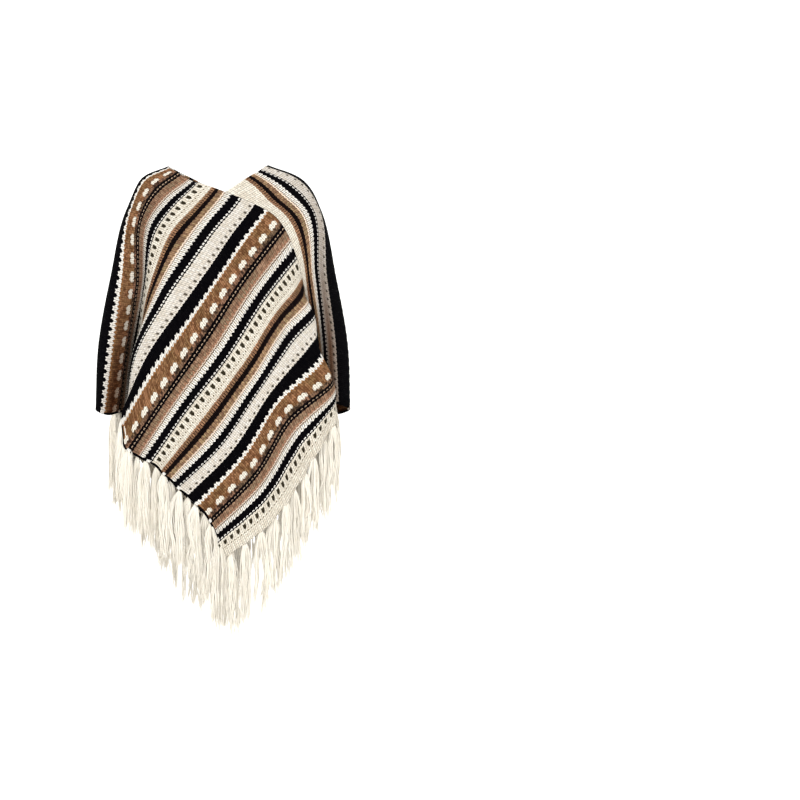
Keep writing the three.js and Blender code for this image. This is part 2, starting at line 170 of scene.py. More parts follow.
# The stripe repeat, from the free short end upwards
REPEAT: tuple[Band, ...] = (
    Band(36.0, Yarn.CREAM, Yarn.SHADED_CREAM, 0.5, comb=0.5, marks=(
        Mark(Figure.BLOCKS, Yarn.OLIVE_BLACK, 0.53, 0.87, 2 * STITCH_WIDE, 0.44),
        Mark(Figure.BLOCKS, Yarn.OLIVE, 0.26, 0.34, STITCH_WIDE, 0.4),)),
    Band(7.4, Yarn.BLACK, Yarn.CHARCOAL, marks=(WHITE_STITCHES,)),
    Band(12.6, Yarn.BLACK, Yarn.CHARCOAL, welt=0.9),
    Band(14.1, Yarn.BRIGHT, Yarn.SHADED_CREAM, 0.3, comb=1.0, welt=1.1, marks=(
        Mark(Figure.TEETH, Yarn.BLACK, 0.0, 0.3),
        # pale olive lines in the groove of each stitch: painted shade
        Mark(Figure.BLOCKS, Yarn.PAINTED_GROOVE_SHADE, 0.25, 1.05, STITCH_WIDE, 0.24),)),
    Band(2.2, Yarn.DARK_BROWN, Yarn.BROWN),
    Band(3.0, Yarn.PINK_CREAM, Yarn.BRIGHT, 0.3),
    Band(17.8, Yarn.TAUPE, Yarn.UMBER, 0.95, comb=0.8, welt=0.7, marks=(
        Mark(Figure.BLOCKS, Yarn.DARK_BROWN, -0.05, 0.1, STITCH_WIDE / 2, 0.6),
        Mark(Figure.TEETH, Yarn.ROSE_TAN, 0.1, 0.45),)),
    Band(5.6, Yarn.BLACK, Yarn.ESPRESSO, comb=0.5),
    Band(2.8, Yarn.ESPRESSO, Yarn.BLACK, marks=(
        Mark(Figure.BLOCKS, Yarn.TAN, 0.1, 0.9, STITCH_WIDE, 0.55),)),
    Band(5.4, Yarn.BLACK, Yarn.ESPRESSO, comb=0.5),
    Band(10.6, Yarn.UMBER, Yarn.ESPRESSO, 0.85, comb=0.6),
    Band(13.8, Yarn.BROWN, Yarn.CHESTNUT, 0.8, comb=0.5, welt=1.1, marks=(
        Mark(Figure.BLOCKS, Yarn.CREAM, 0.04, 0.96, 4 * STITCH_WIDE, 0.6),)),
    Band(21.2, Yarn.BROWN, Yarn.CHESTNUT, 0.8, comb=0.7, welt=0.8),
    Band(11.7, Yarn.BRIGHT, Yarn.SHADED_CREAM, 0.2, comb=0.8, welt=1.2, marks=(
        Mark(Figure.TEETH, Yarn.BROWN, 0.0, 0.32),
        Mark(Figure.BLOCKS, Yarn.BLACK, 0.66, 1.3, 2 * STITCH_WIDE, 0.52),)),
    Band(26.0, Yarn.BLACK, Yarn.CHARCOAL, 0.3, comb=0.5, welt=1.0),
    Band(27.6, Yarn.GREY_CREAM, Yarn.SHADED_CREAM, 0.5, comb=0.3, welt=0.7, marks=(
        Mark(Figure.BLOCKS, Yarn.STONE, 0.16, 0.38, 2 * STITCH_WIDE, 0.32),)),
    Band(7.4, Yarn.BLACK, Yarn.CHARCOAL, marks=(WHITE_STITCHES,)),
    Band(12.0, Yarn.BLACK, Yarn.CHARCOAL, welt=0.9),
    Band(12.4, Yarn.BRIGHT, Yarn.SHADED_CREAM, 0.3, comb=1.0, welt=1.1, marks=(
        Mark(Figure.TEETH, Yarn.BLACK, 0.0, 0.32),
        # pale olive lines in the groove of each stitch: painted shade
        Mark(Figure.BLOCKS, Yarn.PAINTED_GROOVE_SHADE, 0.28, 1.05, STITCH_WIDE, 0.24),)),
    Band(1.9, Yarn.DARK_BROWN, Yarn.BROWN),
    Band(2.6, Yarn.PINK_CREAM, Yarn.BRIGHT, 0.3),
    Band(12.6, Yarn.SAND, Yarn.UMBER, 0.9, comb=0.8, welt=0.7),
    Band(11.0, Yarn.ESPRESSO, Yarn.BLACK, 0.5),
    Band(12.4, Yarn.COPPER, Yarn.UMBER, 0.7, comb=0.9, marks=(
        Mark(Figure.BLOCKS, Yarn.DARK_BROWN, 0.1, 0.7, STITCH_WIDE * 2 / 3, 0.4),)),
)
REPEAT_START = 14.0
REPEAT_LENGTH = sum(band.width for band in REPEAT)
TRIM_START = REPEAT_START + 3 * REPEAT_LENGTH
TRIM_END = TRIM_START + 6.0


class Side(Enum):
    """The two panels, which are one cut turned half way round."""

    FRONT = "front"
    BACK = "back"


@dataclass(frozen=True)
class Pull:
    """A place where the sewing pulls the stripes along the cloth, by up to shift."""

    u: float
    v: float
    reach_u: float
    reach_v: float
    shift: float

    def shifts(self, u: Array, v: Array) -> Array:
        """The stripes' shift at each place."""
        away = ((u - self.u) / self.reach_u) ** 2 + ((v - self.v) / self.reach_v) ** 2
        return self.shift * np.exp(-away)


PULLS = (Pull(520, 0, 75, 90, 16), Pull(900, 0, 55, 60, 26))

# Where the stripes lie on each panel: cloth millimetres, and the chart's millimetres there.
# The knit is drawn in before each side of the garment and let out after it.
STRIPE_PLACES: dict[Side, tuple[tuple[float, float], ...]] = {
    Side.FRONT: ((0, 0), (655, 655), (751, 760), (773, 786), (920, 906)),
    Side.BACK: ((0, 0), (655, 655), (775, 758), (920, 905)),
}


def chart_places(side: Side, u: Array, v: Array) -> Array:
    """Where each place of a panel lies on the stripes' chart.

    Args:
        side: the panel.
        u: places along it.
        v: places across it.

    Returns:
        The chart's millimetres on the grid of all u by all v.
    """
    cloth, chart = zip(*STRIPE_PLACES[side], strict=True)
    grid_u, grid_v = np.meshgrid(u, v, indexing="ij")
    shifts = sum(pull.shifts(grid_u, grid_v) for pull in PULLS)
    return np.interp(u, cloth, chart)[:, None] + shifts


@dataclass(frozen=True)
class Shadow:
    """A deep pleat's shadow on the yarn, at a place of one panel, or of both."""

    sides: tuple[Side, ...]
    u: float
    v: float
    reach_u: float
    reach_v: float
    depth: float


# Painted pleat shade: each darkens the yarn's colour around one place of the cloth
SHADOWS = (
    Shadow((Side.FRONT,), 722, 540, 21, 230, 0.95),
    Shadow((Side.FRONT,), 698, 540, 26, 180, 0.75),
    Shadow((Side.FRONT,), 664, 350, 24, 230, 0.55),
    Shadow((Side.BACK,), 816, 450, 24, 290, 1.0),
    Shadow((Side.BACK,), 730, 540, 50, 34, 1.0),
)


def shades(side: Side, u: Array, v: Array) -> Array:
    """How bright the shadows leave the yarn.

    Args:
        side: the panel.
        u: places along it.
        v: places across it.

    Returns:
        1 in the light and 0 in full shade, on the grid of all u by all v.
    """
    grid_u, grid_v = np.meshgrid(u, v, indexing="ij")
    left = np.ones_like(grid_u)
    for dark in SHADOWS:
        if side in dark.sides:
            away = ((grid_u - dark.u) / dark.reach_u) ** 2 + ((grid_v - dark.v) / dark.reach_v) ** 2
            left *= 1 - dark.depth * np.exp(-away)
    return left


@dataclass(frozen=True)
class Section:
    """One section across the panel at u, from the inner edge to the hem."""

    u: float
    points: tuple[tuple[float, float, float], ...]


# How far across the panel each point of a section lies
COLUMN_SHARES = (0.0, 0.12, 0.25, 0.5, 0.75, 1.0)

SECTIONS: tuple[Section, ...] = (
    Section(0, (
        (192, -14, -500), (214, -42, -510), (239, -58, -525),
        (177, -88, -639), (103, -103, -750), (-2, -108, -830))),
    Section(140, (
        (188, -10, -412), (197, -40, -421), (219, -60, -440),
        (124, -100, -525), (53, -112, -637), (-41, -112, -737))),
    Section(245, (
        (174, -22, -302), (183, -58, -314), (143, -88, -359),
        (67, -112, -469), (-9, -120, -582), (-103, -106, -677))),
    Section(330, (
        (156, -65, -211), (122, -94, -256), (86, -112, -304),
        (15, -124, -417), (-69, -118, -527), (-146, -95, -636))),
    Section(433, (
        (105, -91, -113), (66, -112, -168), (25, -124, -227),
        (-53, -122, -347), (-134, -98, -468), (-211, -68, -587))),
    Section(485, (
        (60, -95, -88), (26, -111, -142), (-4, -122, -198),
        (-78, -117, -305), (-154, -86, -410), (-213, -60, -525))),
    Section(540, (
        (2, -92, -64), (-30, -105, -115), (-61, -112, -169),
        (-133, -96, -283), (-190, -62, -402), (-202, -32, -527))),
    Section(590, (
        (-27, -81, -52), (-68, -92, -101), (-107, -95, -151),
        (-158, -72, -277), (-178, -20, -395), (-192, -12, -526))),
    Section(620, (
        (-48, -66, -44), (-91, -79, -89), (-131, -80, -139),
        (-164, -56, -266), (-186, -7, -391), (-200, -7, -526))),
    Section(665, (
        (-70, -45, -34), (-119, -57, -71), (-157, -62, -122),
        (-172, -48, -254), (-198, -34, -386), (-214, -24, -525))),
    Section(700, (
        (-94, -20, -14), (-146, -36, -50), (-177, -46, -107),
        (-187, -50, -254), (-206, -50, -385), (-225, -44, -527))),
    Section(730, (
        (-103, -3, -7), (-161, -17, -38), (-192, -28, -101),
        (-206, -50, -253), (-223, -52, -390), (-243, -46, -531))),
    Section(775, (
        (-106, 20, 1), (-170, 12, -27), (-206, 5, -92),
        (-239, -1, -236), (-264, -5, -379), (-269, -7, -517))),
    Section(800, (
        (-98, 36, -3), (-161, 34, -31), (-200, 34, -90),
        (-217, 34, -238), (-235, 34, -372), (-243, 25, -508))),
    Section(835, (
        (-80, 54, -15), (-137, 56, -47), (-182, 56, -94),
        (-197, 48, -228), (-214, 38, -362), (-225, 20, -502))),
    Section(870, (
        (-52, 72, -31), (-107, 76, -69), (-156, 74, -108),
        (-185, 49, -248), (-205, 22, -380), (-209, 9, -500))),
)


@dataclass(frozen=True)
class Fold:
    """A soft drape ridge, or trough where the height is negative, between two places."""

    start: tuple[float, float]
    end: tuple[float, float]
    width: float
    height: float

    def heights(self, u: Array, v: Array) -> Array:
        """How far the fold lifts the cloth.

        Args:
            u: places along the panel.
            v: places across it, in the same shape.

        Returns:
            Millimetres at each place.
        """
        along = np.subtract(self.end, self.start)
        t = ((u - self.start[0]) * along[0] + (v - self.start[1]) * along[1]) / (along @ along)
        t = np.clip(t, 0, 1)
        off_u = u - self.start[0] - along[0] * t
        off_v = v - self.start[1] - along[1] * t
        return self.height * np.sin(math.pi * t) * np.exp(-(off_u**2 + off_v**2) / self.width**2)


FOLDS: tuple[Fold, ...] = (
    Fold((330, 60), (60, 330), 26, 6),
    Fold((290, 30), (30, 240), 20, -6),
    Fold((400, 110), (70, 440), 28, -5),
    Fold((430, 180), (120, 500), 26, 5),
    Fold((520, 150), (420, 420), 24, 4),
    Fold((600, 80), (520, 300), 18, -4),
    Fold((650, 60), (590, 240), 16, 3),
)


def curve_weights(places: Sequence[float], at: Array) -> Array:
    """The weights that turn values at uneven places into a smooth curve's values.

    Args:
        places: where the values lie, in rising order.
        at: the places asked for.

    Returns:
        A matrix of len(at) rows and len(places) columns.
    """
    places = np.asarray(places, dtype=float)
    count = len(places)
    chords = np.zeros((count - 1, count))
    spans = np.diff(places)
    for i, span in enumerate(spans):
        chords[i, i], chords[i, i + 1] = -1 / span, 1 / span
    slopes = np.zeros((count, count))
    slopes[0], slopes[-1] = chords[0], chords[-1]
    for i in range(1, count - 1):
        whole = spans[i - 1] + spans[i]
        slopes[i] = (chords[i - 1] * spans[i] + chords[i] * spans[i - 1]) / whole
    at = np.asarray(at, dtype=float)
    k = np.clip(np.searchsorted(places, at, side="right") - 1, 0, count - 2)
    span = spans[k]
    s = (at - places[k]) / span
    values = np.eye(count)
    start, end = values[k], values[k + 1]
    s, span = s[:, None], span[:, None]
    return (
        (2 * s**3 - 3 * s**2 + 1) * start
        + (s**3 - 2 * s**2 + s) * span * slopes[k]
        + (3 * s**2 - 2 * s**3) * end
        + (s**3 - s**2) * span * slopes[k + 1]
    )


def turned(points: Array) -> Array:
    """The points turned half way round the upright axis."""
    return points * np.array([-1.0, -1.0, 1.0])


@dataclass(frozen=True)
class Drape:
    """The worn shape of one panel, as a smooth function of the cloth's own (u, v)."""

    long: float = 920.0
    short: float = 540.0
    ripple_length: float = 62.0
    ripple_height: float = 5.0
    ripple_reach: float = 130.0
    ripple_side_fade: float = 60.0
    neck_lean: float = 12.0
    lean_reach: float = 70.0
    back_lift: float = 8.0
    back_lift_y: tuple[float, float] = (20.0, 85.0)
    back_lift_z: tuple[float, float] = (-260.0, -60.0)
    normal_step: float = 1.5
    mitre_limit: float = 0.55

    def sheet(self, u: Array, v: Array) -> Array:
        """The smooth sheet, without folds.

        Args:
            u: places along the panel.
            v: places across it.

        Returns:
            Points on the grid of all u by all v, in millimetres.
        """
        sections = [section.u for section in SECTIONS]
        table = np.array([section.points for section in SECTIONS], dtype=float)
        columns = [share * self.short for share in COLUMN_SHARES]
        across = np.einsum("vc,scx->svx", curve_weights(columns, v), table)
        far = turned(curve_weights(sections, self.short - np.asarray(v)) @ table[:, 0])
        rows = np.concatenate([across, far[None]], axis=0)
        return np.einsum("us,svx->uvx", curve_weights([*sections, self.long], u), rows)

    def normals(self, u: Array, v: Array) -> Array:
        """The outward normals of the smooth sheet.

        Args:
            u: places along the panel.
            v: places across it.

        Returns:
            Unit vectors on the grid of all u by all v.
        """
        step = self.normal_step
        u0, u1 = np.maximum(u - step, 0), np.minimum(u + step, self.long)
        v0, v1 = np.maximum(v - step, 0), np.minimum(v + step, self.short)
        along = self.sheet(u1, v) - self.sheet(u0, v)
        across = self.sheet(u, v1) - self.sheet(u, v0)
        return unit(np.cross(across, along))

    def lift(self, u: Array, v: Array) -> Array:
        """How far folds and hem waves lift the cloth along its normal.

        Args:
            u: places along the panel.
            v: places across it.

        Returns:
            Millimetres on the grid of all u by all v.
        """
        grid_u, grid_v = np.meshgrid(u, v, indexing="ij")
        total = sum(fold.heights(grid_u, grid_v) for fold in FOLDS)
        to_hem = np.maximum(0, 1 - (self.short - grid_v) / self.ripple_reach) ** 2
        to_end = np.maximum(0, 1 - grid_u / self.ripple_reach) ** 2
        fade = self.ripple_side_fade
        on_front = 1 - smooth_step(self.short - 2 * fade, self.short - fade, grid_u)
        off_seam = smooth_step(fade, 3 * fade, grid_v)
        turn_rate = 2 * math.pi / self.ripple_length
        hem_wave = np.sin(grid_u * turn_rate) * to_hem * on_front
        end_wave = np.sin(grid_v * turn_rate) * to_end * off_seam
        return total + self.ripple_height * (hem_wave + end_wave * (1 - to_hem))

    def frames(self, u: Array, v: Array) -> tuple[Array, Array]:
        """The middle of the cloth and the direction of its thickness.

        Args:
            u: places along the panel.
            v: places across it.

        Returns:
            Points and directions on the grid. The sewn edges take the mitred direction that
            both panels share.
        """
        own = self.normals(u, v)
        points = self.sheet(u, v) + own * self.lift(u, v)[..., None]
        ways = own.copy()
        if v[0] == 0:
            seam = np.flatnonzero(u <= self.short)
            partner = self.normals(np.array([self.long]), self.short - u[seam])[0]
            ways[seam, 0] = self._mitred(own[seam, 0], turned(partner))
        if u[-1] == self.long:
            partner = self.normals(self.short - v, np.array([0.0]))[:, 0]
            ways[-1] = self._mitred(own[-1], turned(partner))
        return points, ways

    def _mitred(self, own: Array, partner: Array) -> Array:
        """The shared direction of two walls that meet, long enough to reach both faces."""
        shared = unit(own + partner)
        reach = np.maximum(self.mitre_limit, (shared * own).sum(axis=-1, keepdims=True))
        return shared / reach

    def settle(self, points: Array) -> Array:
        """Gives points the lean of the neck and the raised back neck.

        Args:
            points: points of the garment, in millimetres.

        Returns:
            The moved points.
        """
        near_top = np.maximum(0, 1 + np.minimum(points[..., 2], 0) / self.lean_reach)
        back = smooth_step(*self.back_lift_y, points[..., 1])
        high = smooth_step(*self.back_lift_z, points[..., 2])
        moved = points.copy()
        moved[..., 0] -= self.neck_lean * near_top**2
        moved[..., 2] += self.back_lift * back * high
        return moved


def placed(points: Array, side: Side, drape: Drape) -> Array:
    """Puts the first panel's points where the given panel has them.

    Args:
        points: points of the first panel, in millimetres.
        side: the panel.
        drape: the worn shape.

    Returns:
        Points in metres.
    """
    own = points if side is Side.FRONT else turned(points)
    return drape.settle(own) * MM


@dataclass(frozen=True)
class Value:
    """A shader socket that can be used in a Python expression."""

    shader: "Shader"
    socket: bpy.types.NodeSocket

    def __add__(self, other: "Value | float") -> "Value":
        """The sum."""
        return self.shader.math("ADD", self, other)

    __radd__ = __add__

    def __sub__(self, other: "Value | float") -> "Value":
        """The difference."""
        return self.shader.math("SUBTRACT", self, other)

    def __rsub__(self, other: "Value | float") -> "Value":
        """The difference, the other way round."""
        return self.shader.math("SUBTRACT", other, self)

    def __mul__(self, other: "Value | float") -> "Value":
        """The product."""
        return self.shader.math("MULTIPLY", self, other)

    __rmul__ = __mul__

    def __truediv__(self, other: "Value | float") -> "Value":
        """The quotient."""
        return self.shader.math("DIVIDE", self, other)

    def __pow__(self, other: float) -> "Value":
        """The power."""
        return self.shader.math("POWER", self, other)

    def __abs__(self) -> "Value":
        """The size without sign."""
        return self.shader.math("ABSOLUTE", self)

    def __gt__(self, other: "Value | float") -> "Value":
        """1 where this is greater, else 0."""
        return self.shader.math("GREATER_THAN", self, other)

    def __lt__(self, other: "Value | float") -> "Value":
        """1 where this is less, else 0."""
        return self.shader.math("LESS_THAN", self, other)

    def fract(self) -> "Value":
        """The part after the decimal point."""
        return self.shader.math("FRACT", self)

    def floor(self) -> "Value":
        """The whole number below."""
        return self.shader.math("FLOOR", self)

    def within(self, low: "Value | float", high: "Value | float") -> "Value":
        """1 between low and high, else 0."""
        return (self > low) * (self < high)

    def ramp(self, low: float, high: float) -> "Value":
        """0 at low, 1 at high and even between."""
        inputs = {"Value": self, "From Min": low, "From Max": high}
        return self.shader.node("ShaderNodeMapRange", {}, inputs)


class Shader:
    """A material's node tree, built from expressions."""

    def __init__(self, name: str) -> None:
        """Makes the material with an empty tree.

        Args:
            name: the material's name.
        """
        self.material = bpy.data.materials.new(name)
        self.material.use_nodes = True
        self.tree = self.material.node_tree
        self.tree.nodes.clear()

    def node(self, kind: str, settings: dict, inputs: dict, output: int | str = 0) -> Value:
        """Adds a node.

        Args:
            kind: the node's type.
            settings: its own settings, set first. "stops" are a ramp's places and colours.
            inputs: values or links for its sockets, by name or number.
            output: which output to hand back.

        Returns:
            The output as a value.
        """
        made = self.tree.nodes.new(kind)
        for key, setting in settings.items():
            if key == "stops":
                self._set_stops(made.color_ramp, setting)
            elif key == "interpolation":
                made.color_ramp.interpolation = setting
            else:
                setattr(made, key, setting)
        for key, value in inputs.items():
            if isinstance(value, Value):
                self.tree.links.new(value.socket, made.inputs[key])
            else:
                made.inputs[key].default_value = value
        return Value(self, made.outputs[output]) if len(made.outputs) else None

    @staticmethod
    def _set_stops(ramp: bpy.types.ColorRamp, stops: Sequence[tuple[float, tuple]]) -> None:
        """Gives a ramp its stops.

        Args:
            ramp: the ramp.
            stops: the place and the colour of each.
        """
        while len(ramp.elements) < len(stops):
            ramp.elements.new(1.0)
        for element, (place, colour) in zip(ramp.elements, stops, strict=True):
            element.position = place
            element.color = colour

    def math(self, operation: str, *values: Value | float) -> Value:
        """A Math node on one to three values."""
        return self.node("ShaderNodeMath", {"operation": operation}, dict(enumerate(values)))

    def mix(self, factor: Value | float, first: Value | tuple, second: Value | tuple) -> Value:
        """A blend of two colours."""
        inputs = {0: factor, 6: first, 7: second}
        return self.node("ShaderNodeMix", {"data_type": "RGBA"}, inputs, output=2)

    def tint(self, colour: Value, filtered: Value) -> Value:
        """A colour multiplied by another."""
        settings = {"data_type": "RGBA", "blend_type": "MULTIPLY"}
        return self.node("ShaderNodeMix", settings, {0: 1.0, 6: colour, 7: filtered}, output=2)

    def darken(self, colour: Value, amount: Value) -> Value:
        """A colour multiplied by a grey amount."""
        grey = self.node("ShaderNodeCombineColor", {}, {0: amount, 1: amount, 2: amount})
        return self.tint(colour, grey)

    def vector(self, *parts: Value | float) -> Value:
        """A vector of up to three numbers."""
        return self.node("ShaderNodeCombineXYZ", {}, dict(enumerate(parts)))

    def chance(self, *parts: Value | float) -> Value:
        """An even random number from 0 to 1 for each place."""
        return self.node("ShaderNodeTexWhiteNoise", {}, {"Vector": self.vector(*parts)})

    def noise(self, vector: Value, scale: float, detail: float = 2.0) -> Value:
        """Soft noise from 0 to 1."""
        inputs = {"Vector": vector, "Scale": scale, "Detail": detail}
        return self.node("ShaderNodeTexNoise", {}, inputs, output="Fac")

    def surface(self, inputs: dict, height: Value, strength: float, distance: float) -> None:
        """Ends the tree with a bump and a cloth surface.

        Args:
            inputs: the surface's own values and links.
            height: what the bump follows.
            strength: the bump's strength.
            distance: the bump's depth in metres.
        """
        bump = self.node(
            "ShaderNodeBump", {}, {"Strength": strength, "Distance": distance, "Height": height}
        )
        shader = self.node("ShaderNodeBsdfPrincipled", {}, {**inputs, "Normal": bump})
        self.node("ShaderNodeOutputMaterial", {}, {"Surface": shader})


@dataclass(frozen=True)
class StripedKnit:
    """The striped knit: chart, stitches, yarn flecks, and painted shade in grooves and pleats."""

    name: str = "striped_knit"
    edge_zigzag: float = 1.8
    edge_wobble: float = 1.6
    wobble_rate: float = 0.11
    streak_stretch: tuple[float, float] = (0.3, 1.4)
    streak_rate: float = 0.8
    streak_light: float = 0.28
    fleck_range: tuple[float, float] = (0.36, 0.64)
    leg_round: float = 0.6
    course_depth: float = 0.75
    groove_shade: float = 0.5
    comb_shade: float = 0.6
    cloud_rate: float = 0.02
    cloud_light: float = 0.12
    mark_slack: float = 0.2
    block_lean: float = 0.16
    edge_width: float = 4.4
    edge_start: float = 49.13
    scallop: float = 58.0
    scallop_rise: float = 1.15
    knot_depth: float = 6.0
    knot_start: float = 0.84
    # The brown that the painted pleat shade darkens the yarn's colour towards
    painted_pleat_shadow_colour: Colour = linear(96, 68, 50)
    dye_rate: float = 0.03
    dye_range: tuple[float, float] = (0.38, 0.62)
    dye_share: float = 0.45
    bump_strength: float = 0.8
    bump_depth: float = 1.5 * MM

    def build(self, drape: Drape) -> bpy.types.Material:
        """Makes the material.

        Args:
            drape: the panel's cut, for its long hem.

        Returns:
            The finished material.
        """
        shader = Shader(self.name)
        uv = shader.node("ShaderNodeUVMap", {"uv_map": "cloth"}, {})
        apart = shader.node("ShaderNodeSeparateXYZ", {}, {0: uv})
        chart = apart / MM
        across = Value(shader, apart.socket.node.outputs[1]) / MM
        cloth = shader.vector(chart, across)
        leg = abs((across / STITCH_WIDE).fract() - 0.5) * 2
        wobble = (shader.noise(cloth, self.wobble_rate) - 0.5) * self.edge_wobble
        shifted = shader.math("MINIMUM", chart + leg * self.edge_zigzag + wobble, TRIM_END)
        begun = shader.math("MAXIMUM", shifted - REPEAT_START, 0.0)
        share = (begun / REPEAT_LENGTH).fract()
        course = chart / STITCH_TALL + leg * STITCH_LEAN
        along_stretch, across_stretch = self.streak_stretch
        stretched = shader.vector(chart * along_stretch, across * across_stretch)
        streak = shader.noise(stretched, self.streak_rate, 3.0)
        luck = shader.chance(course.floor(), (across * 2 / STITCH_WIDE).floor())
        fleck = luck * 0.5 + streak * 0.5
        traits = self._traits(shader, share)
        flecked = fleck.ramp(*self.fleck_range) * traits[0]
        ground = self._yarns(shader, share, "ground")
        dyed = shader.noise(cloth, self.dye_rate, 1.0).ramp(*self.dye_range)
        dye = shader.mix(dyed, Yarn.ROSE_TAN.colour, Yarn.OLIVE.colour)
        ground = shader.mix(traits[2] * self.dye_share, ground, dye)
        colour = shader.mix(flecked, ground, self._yarns(shader, share, "fleck"))
        colour = self._marks(shader, colour, share * REPEAT_LENGTH, across, leg)
        colour = self._hem_line(shader, colour, chart, across, drape)
        # Painted pleat shade: where the per-point shade numbers fall, the colour is darkened
        # towards a brown
        lit = shader.node("ShaderNodeAttribute", {"attribute_name": "shade"}, {}, "Fac")
        colour = shader.tint(colour, shader.mix(lit, self.painted_pleat_shadow_colour, WHITE))
        stitch = self._stitch(course, leg)
        # Painted shade: the grooves between stitch legs and between ribs darken the colour itself;
        # the streak and cloud noise then vary the tone at random
        painted_shade_and_tone = 1 - self.groove_shade + stitch * self.groove_shade
        painted_shade_and_tone = painted_shade_and_tone * (1 - traits[1] * leg**6 * self.comb_shade)
        cloud = shader.noise(cloth, self.cloud_rate)
        painted_shade_and_tone = painted_shade_and_tone * (1 - self.streak_light / 2 + streak * self.streak_light)
        painted_shade_and_tone = painted_shade_and_tone * (1 - self.cloud_light / 2 + cloud * self.cloud_light)
        shader.surface(
            {
                "Base Color": shader.darken(colour, painted_shade_and_tone),
                "Roughness": 0.95,
                "Specular IOR Level": 0.02,
            },
            stitch + streak * 0.5,
            self.bump_strength,
            self.bump_depth,
        )
        return shader.material

    @staticmethod
    def _steps(colours: Sequence[tuple]) -> dict:
        """A ramp's settings that give each band of the repeat its colour.

        Args:
            colours: one for each band.

        Returns:
            The settings.
        """
        stops, place = [], 0.0
        for band, colour in zip(REPEAT, colours, strict=True):
            stops.append((place / REPEAT_LENGTH, colour))
            place += band.width
        return {"interpolation": "CONSTANT", "stops": stops}

    def _yarns(self, shader: Shader, share: Value, name: str) -> Value:
        """The bands' own colours, or their flecks'."""
        settings = self._steps([getattr(band, name).colour for band in REPEAT])
        return shader.node("ShaderNodeValToRGB", settings, {0: share})

    def _traits(self, shader: Shader, share: Value) -> tuple[Value, Value, Value]:
        """The bands' traits.

        Args:
            shader: the tree.
            share: how far into the repeat a place lies.

        Returns:
            How flecked each band is, how deep its ribs are, and whether its dye runs.
        """
        dyed = (Yarn.BROWN, Yarn.UMBER, Yarn.SAND, Yarn.COPPER, Yarn.TAUPE)
        settings = self._steps(
            [(band.flecked, band.comb, float(band.ground in dyed), 1.0) for band in REPEAT]
        )
        ramp = shader.node("ShaderNodeValToRGB", settings, {0: share})
        parts = shader.node("ShaderNodeSeparateColor", {}, {0: ramp})
        return tuple(Value(shader, output) for output in parts.socket.node.outputs[:3])

    def _marks(
        self, shader: Shader, colour: Value, local: Value, across: Value, leg: Value
    ) -> Value:
        """Lays the small figures over the bands.

        Args:
            shader: the tree.
            colour: the yarns' colour without figures.
            local: millimetres into the repeat.
            across: millimetres across the panel.
            leg: 0 in the middle of a stitch and 1 between two.

        Returns:
            The colour with every figure.
        """
        place, low, high = 0.0, -self.mark_slack, 1 + self.mark_slack
        for band in REPEAT:
            for mark in band.marks:
                start = place + band.width * mark.start
                share = (local - start) / (band.width * (mark.end - mark.start))
                step = (across / mark.pitch).fract()
                if mark.figure is Figure.TEETH:
                    mask = share.within(low, 1 - abs(step - 0.5) * 2)
                else:
                    wide = abs(step - 0.5) * (2 / mark.fill)
                    tall = abs(share + (leg - 0.5) * self.block_lean - 0.5) * 2
                    mask = (wide**4 + tall**4 < 1.0) * share.within(low, high)
                colour = shader.mix(mask, colour, mark.yarn.colour)
            place += band.width
        return colour

    def _hem_line(
        self, shader: Shader, colour: Value, chart: Value, across: Value, drape: Drape
    ) -> Value:
        """Lays the dark edge stitch along the long hem, scalloped between its white knots.

        Args:
            shader: the tree.
            colour: the cloth's colour.
            chart: millimetres along the chart.
            across: millimetres across the panel.
            drape: the panel's cut.

        Returns:
            The colour with the edge stitch.
        """
        begun = chart > self.edge_start
        scallop = abs((chart / self.scallop).fract() - 0.5) * 2
        depth = self.edge_width * (self.scallop_rise - scallop**4)
        edge = begun * (across > drape.short - depth)
        lined = shader.mix(edge, colour, Yarn.BLACK.colour)
        knot = (scallop > self.knot_start) * (across > drape.short - self.knot_depth)
        return shader.mix(knot * begun, lined, Yarn.BRIGHT.colour)

    def _stitch(self, course: Value, leg: Value) -> Value:
        """The height of the V stitches: two slanting legs to each."""
        across_leg = 1 - (leg * 2 - 1) ** 2
        along_leg = 1 - abs(course.fract() * 2 - 1) ** 3
        return across_leg**self.leg_round * (along_leg * self.course_depth + 1 - self.course_depth)


@dataclass(frozen=True)
class PlainYarn:
    """One undyed, twisted yarn, for the fringe."""

    name: str
    yarn: tuple[int, int, int]
    shade: tuple[int, int, int]
    twist: float = 340.0
    fade: float = 16.0
    twist_share: float = 0.6
    bump_strength: float = 0.5
    bump_depth: float = 0.7 * MM

    def build(self) -> bpy.types.Material:
        """Makes the material from Object coordinates."""
        shader = Shader(self.name)
        where = shader.node("ShaderNodeTexCoord", {}, {}, output="Object")
        fibre = shader.noise(where, self.twist, 3.0)
        broad = shader.noise(where, self.fade, 2.0)
        light = fibre * self.twist_share + broad * (1 - self.twist_share)
        colour = shader.mix(light, linear(*self.shade), linear(*self.yarn))
        shader.surface(
            {
                "Base Color": colour,
                "Roughness": 0.9,
                "Specular IOR Level": 0.2,
                "Sheen Weight": 0.4,
            },
            fibre,
            self.bump_strength,
            self.bump_depth,
        )
        return shader.material


